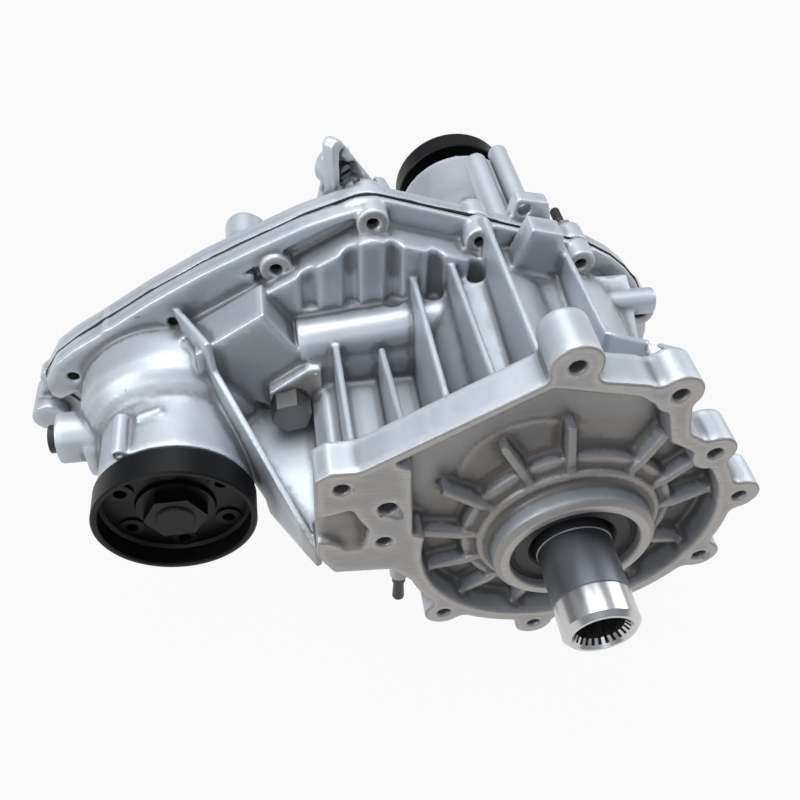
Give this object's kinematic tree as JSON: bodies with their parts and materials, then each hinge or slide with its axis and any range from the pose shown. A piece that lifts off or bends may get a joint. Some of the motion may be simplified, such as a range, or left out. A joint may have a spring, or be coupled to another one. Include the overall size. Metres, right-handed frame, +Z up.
{
  "type": "transfer case",
  "caption": "Two-output vehicle transfer case: ribbed cast housing halves, through shaft with splined nose, meshed gear train, clutch and black output cups.",
  "frame": {"origin": "on the input shaft's axis, in the plane of the bell flange's machined face, the centre of the pilot boss", "axes": "+Y runs from the gearbox side to the rear output, +Z is up as mounted, +X is to the right of someone facing +Y; the front output lies at -X"},
  "size_m": [0.458, 0.4575, 0.2897],
  "materials": {
    "cast_aluminium": "cast and shot-blasted, satin",
    "black_sealant": "cured bead, dull",
    "zinc_steel": "zinc plated",
    "bearing_steel": "ground and polished",
    "machined_steel": "turned, with a ground nose",
    "gear_steel": "hardened and ground",
    "friction_lining": "paper lining",
    "seal_rubber": "moulded, dull",
    "black_paint": "gloss black paint",
    "dark_steel": "black oxide",
    "black_plastic": "moulded",
    "copper": "annealed copper",
    "bronze": "sintered bronze",
    "magnet": "sintered magnet"
  },
  "bodies": {
    "housing": {"front_case": "cast_aluminium", "rear_case": "cast_aluminium", "seam_sealant": "black_sealant", "case_bolts": "zinc_steel", "dowel_pins": "bearing_steel", "input_seal": "seal_rubber", "rear_output_seal": "seal_rubber", "front_output_seal": "seal_rubber", "main_bearing_outers": "bearing_steel", "front_bearing_outers": "bearing_steel", "idler_shaft": "machined_steel", "idler_bearing_inners": "bearing_steel", "fill_plug": "dark_steel", "drain_plug": "dark_steel", "side_plug": "black_plastic", "plug_washers": "copper", "drain_nipple": "dark_steel", "breather": "black_plastic", "control_seal": "seal_rubber", "control_bush": "bronze", "bearing_circlip": "dark_steel", "sump_magnet": "magnet"},
    "apply": {"apply_ring": "gear_steel"},
    "main_shaft": {"input_shaft": "machined_steel", "main_bearing_inners": "bearing_steel", "drive_gear": "gear_steel", "clutch_drum": "gear_steel", "clutch_hub": "gear_steel", "friction_plates": "friction_lining", "steel_plates": "machined_steel", "bearing_sleeve": "bearing_steel", "rear_output_cup": "black_paint", "rear_shaft_nut": "dark_steel"},
    "pressure_plate": {"pressure_plate": "gear_steel"},
    "main_balls": {"main_bearing_balls": "bearing_steel"},
    "idler": {"idler_gear": "gear_steel", "idler_bearing_outers": "bearing_steel"},
    "idler_balls": {"idler_bearing_balls": "bearing_steel"},
    "front_output": {"driven_gear": "gear_steel", "front_output_shaft": "machined_steel", "front_bearing_inners": "bearing_steel", "front_output_cup": "black_paint", "front_shaft_nut": "dark_steel"},
    "front_balls": {"front_bearing_balls": "bearing_steel"},
    "control": {"control_shaft": "machined_steel"}
  },
  "joints": [
    {"name": "main_spin", "type": "hinge", "parent": "housing", "child": "main_shaft", "pos_m": [0, 0, 0], "axis": [0, 1, 0], "continuous": true},
    {"name": "idler_spin", "type": "hinge", "parent": "housing", "child": "idler", "pos_m": [-0.11925, 0, 0.02803], "axis": [0, 1, 0], "continuous": true},
    {"name": "front_spin", "type": "hinge", "parent": "housing", "child": "front_output", "pos_m": [-0.2385, 0, 0], "axis": [0, 1, 0], "continuous": true},
    {"name": "main_ball_orbit", "type": "hinge", "parent": "housing", "child": "main_balls", "pos_m": [0, 0, 0], "axis": [0, 1, 0], "continuous": true},
    {"name": "idler_ball_orbit", "type": "hinge", "parent": "housing", "child": "idler_balls", "pos_m": [-0.11925, 0, 0.02803], "axis": [0, 1, 0], "continuous": true},
    {"name": "front_ball_orbit", "type": "hinge", "parent": "housing", "child": "front_balls", "pos_m": [-0.2385, 0, 0], "axis": [0, 1, 0], "continuous": true},
    {"name": "apply_turn", "type": "hinge", "parent": "housing", "child": "apply", "pos_m": [0, 0, 0], "axis": [0, 1, 0], "range_deg": [0, 30]},
    {"name": "control_turn", "type": "hinge", "parent": "housing", "child": "control", "pos_m": [-0.11102, 0.19178, 0.14203], "axis": [-0.7071, 0.7071, 0], "range_deg": [0, 90]},
    {"name": "pressure_slide", "type": "slide", "parent": "main_shaft", "child": "pressure_plate", "axis": [0, 1, 0], "range_m": [0, 0.0012]}
  ],
  "couplings": [
    {"joint": "idler_spin", "follows": "main_spin", "ratio": -0.75},
    {"joint": "front_spin", "follows": "main_spin", "ratio": 1},
    {"joint": "main_ball_orbit", "follows": "main_spin", "ratio": 0.4262},
    {"joint": "idler_ball_orbit", "follows": "main_spin", "ratio": -0.45},
    {"joint": "front_ball_orbit", "follows": "main_spin", "ratio": 0.3972},
    {"joint": "control_turn", "follows": "apply_turn", "ratio": 2.9999},
    {"joint": "pressure_slide", "follows": "apply_turn", "m_per_rad": 0.00229}
  ]
}
